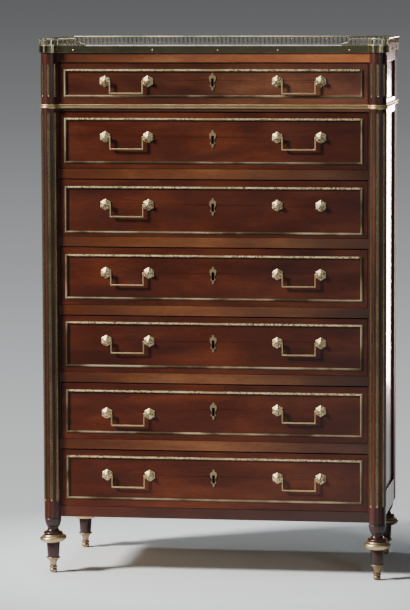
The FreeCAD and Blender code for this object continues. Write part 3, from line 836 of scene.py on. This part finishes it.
# Points of the circular arc through three points, without the first one.
def arcThrough(start, middle, end):
    steps = 8
    (ax, ay), (bx, by), (cx, cy) = start, middle, end
    spin = 2 * (ax * (by - cy) + bx * (cy - ay) + cx * (ay - by))
    if abs(spin) < 1e-12:
        return [end]
    squares = [x * x + y * y for x, y in (start, middle, end)]
    x = (squares[0] * (by - cy) + squares[1] * (cy - ay) + squares[2] * (ay - by)) / spin
    y = (squares[0] * (cx - bx) + squares[1] * (ax - cx) + squares[2] * (bx - ax)) / spin
    radius = math.dist((x, y), start)
    first = math.atan2(ay - y, ax - x)
    last = math.atan2(cy - y, cx - x)
    halfway = math.atan2(by - y, bx - x)
    turn = (last - first) % (2 * math.pi)
    if (halfway - first) % (2 * math.pi) > turn:
        turn -= 2 * math.pi
    angles = [first + turn * k / steps for k in range(1, steps + 1)]
    return [(x + radius * math.cos(a), y + radius * math.sin(a)) for a in angles]


# A profile from its start; a move is the next point, or an arc's middle and end.
def outline(start, *moves):
    points = [start]
    for move in moves:
        if len(move) == 2:
            points.append(move)
        else:
            points += arcThrough(points[-1], move[:2], move[2:])
    return points


def footProfile():
    cup, neck, collar = foot["cup"], foot["neck"], foot["collar"]
    shaft, ankle, dowel = foot["shaft"], foot["ankle"], foot["dowel"]
    return outline(
        (0.001, 0.16),
        (cup - 0.0002, 0.16),
        (cup - 0.0002, 0.156),
        (cup - 0.0008, 0.1552),
        (cup - 0.0008, 0.1544),
        (cup - 0.0003, 0.1536),
        (cup - 0.0017, 0.1445, neck + 0.0035, 0.1345),
        (neck + 0.001, 0.1337),
        (neck + 0.0018, 0.132, neck + 0.001, 0.1303),
        (neck, 0.1296),
        (neck + 0.0002, 0.122, neck + 0.005, 0.1175),
        (collar - 0.0035, 0.1165),
        (collar - 0.0005, 0.1132, collar - 0.0032, 0.1095),
        (collar - 0.006, 0.1091),
        (dowel, 0.1091),
        (dowel, 0.0882),
        (shaft - 0.0004, 0.0882),
        (shaft - 0.0001, 0.087),
        (ankle + 0.0001, 0.048),
        (ankle - 0.0002, 0.0452),
        (0.001, 0.0452),
    )


def ringProfile():
    edge, hole = foot["ring"], foot["dowel"] + 0.0001
    return outline(
        (hole, 0.0882),
        (edge - 0.0095, 0.0882),
        (edge - 0.0085, 0.0902),
        (edge - 0.0078, 0.0908),
        (edge, 0.0983, edge - 0.0072, 0.1052),
        (edge - 0.0082, 0.1056),
        (edge - 0.0082, 0.1068),
        (edge - 0.0095, 0.1086),
        (hole, 0.1086),
    )


def sabotProfile():
    waist, bulb = foot["sabotWaist"], foot["sabotBulb"]
    tip, collar = foot["sabotTip"], foot["sabotCollar"]
    rim = foot["ankle"] + 0.0002
    return outline(
        (0.001, 0.0),
        (tip - 0.0004, 0.0),
        (tip + 0.0012, 0.0006),
        (bulb, 0.0062, tip + 0.0022, 0.0124),
        (tip + 0.0004, 0.0134),
        (tip + 0.0004, 0.0142),
        (waist + 0.0018, 0.0165, tip + 0.0008, 0.0188),
        (waist - 0.0012, 0.0198),
        (waist - 0.0004, 0.0206),
        (collar - 0.0083, 0.0335, collar - 0.0025, 0.0402),
        (collar - 0.0022, 0.041),
        (collar, 0.0428, collar - 0.0015, 0.0448),
        (rim, 0.0449),
        (rim, 0.04),
    )


# Points leaned about the Y axis at a height over the centre.
def tilted(points, centre, height, degrees):
    pivot = Vector((centre[0], centre[1], height))
    turn = Matrix.Rotation(math.radians(degrees), 3, "Y")
    return [turn @ (Vector(p) - pivot) + pivot for p in points]


def addFeet(turnedWood, ringBrass, sabotBrass):
    wooden, rings, sabots = Shape(), Shape(), Shape()
    for name, (x, y) in foot["places"].items():
        wooden.turned((x, y, 0), footProfile(), 72)
        sabots.turned((x, y, 0), sabotProfile(), 64)
        ring = Shape()
        ring.turned((x, y, 0), ringProfile(), 96)
        first = len(rings.points)
        lean = foot["ringTilt"].get(name, 0.0)
        rings.points += tilted(ring.points, (x, y), foot["ringMiddle"], lean)
        rings.faces += [tuple(first + k for k in face) for face in ring.faces]
    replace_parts(wooden.piece("turned_feet", turnedWood, "cabinet", "mahogany"), "feet")
    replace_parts(rings.piece("foot_ring_castings", ringBrass, "cabinet", "brass"), "foot_rings")
    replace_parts(sabots.piece("sabot_castings", sabotBrass, "cabinet", "brass"), "foot_sabots")


# Camera, light and floor

cameraView = {
    "place": (1.2578, -8.8151, 1.6225),
    "yaw": 0.1477,
    "pitch": 0.099,
    "roll": -0.0032,
    "lens": 186.99,
}
# Grey tones by the height of the direction looked in; stops run from the lower height up.
backdropLook = {
    "heights": (-0.2, 0.02),
    "depths": (0.1, 0.9),
    "tint": (0.985, 1, 1.02),
    "stops": (
        (0.029, 0.9),
        (0.151, 0.76),
        (0.28, 0.64),
        (0.495, 0.385),
        (0.725, 0.202),
        (0.868, 0.133),
        (1.0, 0.105),
    ),
}
frontLook = {
    "heights": (-0.6, 0.2),
    "tint": (0.97, 0.99, 1.04),
    "stops": ((0.0, 0.15), (0.5, 0.95), (0.69, 0.1), (1.0, 0.03)),
    "leftDimming": (-0.145, -0.105, 0.2, 1.0),
    "sideDimming": (0.3, 0.5, 1.0, 0.12),
}
stripLook = {"place": 0.79, "edges": (0.02, 0.06), "depths": (-0.1, 0.0), "tone": 1.2}
floorLook = {
    "radius": 3.2,
    "fade": (0.6, 1.1),
    "tones": (0.82, 0.85),
    "tint": (0.97, 1, 1.03),
}
lamps = (
    {
        "name": "keyLight",
        "place": (-6.1, -3.6, 5.3),
        "target": (0, 0, 0.6),
        "size": (1.4, 1.4),
        "power": 1600,
        "colour": (1, 0.98, 0.95),
    },
    {
        "name": "fillLight",
        "place": (3.5, -6.0, 2.4),
        "target": (0, 0, 0.3),
        "size": (1.5, 1.5),
        "power": 60,
        "colour": (0.78, 0.92, 1),
    },
    {
        "name": "topLight",
        "place": (-0.6, 0.1, 3.6),
        "target": (0, 0, 0.3),
        "size": (1.6, 1.2),
        "power": 48,
        "colour": (0.9, 0.97, 1),
    },
    {
        "name": "sideGlow",
        "place": (1.1, 4.6, 0.6),
        "target": (0.85, 0, 0.9),
        "size": (0.7, 1.3),
        "power": 2.4,
        "colour": (1, 0.7, 0.68),
        "spread": 16,
    },
)


def addCamera():
    data = bpy.data.cameras.new("camera")
    data.lens = cameraView["lens"]
    data.sensor_width = 36
    data.clip_start = 0.1
    data.clip_end = 100
    camera = bpy.data.objects.new("camera", data)
    bpy.context.scene.collection.objects.link(camera)
    yaw, pitch, roll = cameraView["yaw"], cameraView["pitch"], cameraView["roll"]
    right = Vector((math.cos(yaw), math.sin(yaw), 0))
    ahead = Vector((-math.sin(yaw), math.cos(yaw), 0))
    up = Vector((0, 0, 1))
    forward = ahead * math.cos(pitch) - up * math.sin(pitch)
    over = up * math.cos(pitch) + ahead * math.sin(pitch)
    acrossAxis = right * math.cos(roll) + over * math.sin(roll)
    upAxis = over * math.cos(roll) - right * math.sin(roll)
    turn = Matrix((acrossAxis, upAxis, -forward)).transposed().to_4x4()
    camera.matrix_world = Matrix.Translation(cameraView["place"]) @ turn
    bpy.context.scene.camera = camera


def addLamp(look):
    data = bpy.data.lights.new(look["name"], "AREA")
    data.shape = "RECTANGLE"
    data.size, data.size_y = look["size"]
    data.energy = look["power"]
    data.color = look["colour"]
    if "spread" in look:
        data.spread = math.radians(look["spread"])
    light = bpy.data.objects.new(look["name"], data)
    bpy.context.scene.collection.objects.link(light)
    light.location = look["place"]
    aim = Vector(look["target"]) - Vector(look["place"])
    light.rotation_euler = aim.to_track_quat("-Z", "Y").to_euler()
    light.visible_camera = False


# A grey gradient over a direction's height.
def gradient(graph, height, look):
    tones = [(at, tuple(tone * part for part in look["tint"])) for at, tone in look["stops"]]
    return graph.ramp(graph.spread(height, *look["heights"]), *tones)


# Two upright strips in front, left and right, that only reflections show.
def stripTone(graph, aside, depth, isGlossy):
    away = graph.math("ABSOLUTE", graph.math("SUBTRACT", aside, stripLook["place"]))
    strip = graph.spread(away, *stripLook["edges"], stripLook["tone"], 0.0)
    strip = graph.product(strip, graph.spread(depth, *stripLook["depths"], 1.0, 0.0))
    return graph.product(strip, isGlossy)


# Grey all round; the camera sees a plain backdrop that is paler lower down.
def addWorld():
    world = bpy.data.worlds.new("studio")
    bpy.context.scene.world = world
    world.use_nodes = True
    graph = Graph(world.node_tree)
    x, y, z = graph.parts(graph.add("TexCoord").outputs["Generated"])
    aside = graph.math("ABSOLUTE", x)
    lightPath = graph.add("LightPath").outputs
    backdrop = gradient(graph, z, backdropLook)
    dimming = graph.product(
        graph.spread(x, *frontLook["leftDimming"]),
        graph.spread(aside, *frontLook["sideDimming"]),
    )
    front = graph.mix(1.0, gradient(graph, z, frontLook), graph.grey(dimming), "MULTIPLY")
    around = graph.mix(graph.spread(y, *backdropLook["depths"]), front, backdrop)
    strips = graph.grey(stripTone(graph, aside, y, lightPath["Is Glossy Ray"]))
    around = graph.mix(1.0, around, strips, "ADD")
    seen = graph.mix(lightPath["Is Camera Ray"], around, backdrop)
    background = graph.add("Background", {"Color": seen, "Strength": 1.0})
    output = graph.add("OutputWorld")
    world.node_tree.links.new(background.outputs[0], output.inputs[0])


# A pale floor that fades into the backdrop and is clear from below.
def addFloor():
    data = bpy.data.meshes.new("floor")
    shape = bmesh.new()
    bmesh.ops.create_circle(shape, cap_ends=True, radius=floorLook["radius"], segments=96)
    shape.to_mesh(data)
    shape.free()
    floor = bpy.data.objects.new("floor", data)
    bpy.context.scene.collection.objects.link(floor)
    material, graph = newMaterial("paleFloor")
    place = graph.add("TexCoord").outputs["Object"]
    distance = graph.add("VectorMath", {0: place}, operation="LENGTH").outputs["Value"]
    fade = graph.spread(distance, *floorLook["fade"])
    fade = graph.math("MAXIMUM", fade, graph.add("NewGeometry").outputs["Backfacing"])
    tone = graph.spread(graph.noise(place, 60, 3), 0.3, 0.7, *floorLook["tones"])
    channels = {k: graph.product(tone, part) for k, part in enumerate(floorLook["tint"])}
    colour = graph.add("CombineColor", channels).outputs[0]
    surface = graph.add("BsdfPrincipled", {"Base Color": colour, "Roughness": 0.8})
    clear = graph.add("BsdfTransparent")
    mixed = graph.add("MixShader", {0: fade, 1: surface.outputs[0], 2: clear.outputs[0]})
    output = graph.add("OutputMaterial")
    material.node_tree.links.new(mixed.outputs[0], output.inputs[0])
    data.materials.append(material)


boxWood = dressCarcase()
dressDrawers(boxWood)
print("cabinet dressed")
addGallery(metal("galleryBrass", galleryTones))
print("gallery built")
footWood = wood("footMahogany", dict(footTones, seed=8.0))
addFeet(footWood, metal("ringBrass", ringTones), metal("sabotBrass", sabotTones))
print("feet built")
addCamera()
addWorld()
addFloor()
for lamp in lamps:
    addLamp(lamp)
print("studio ready")
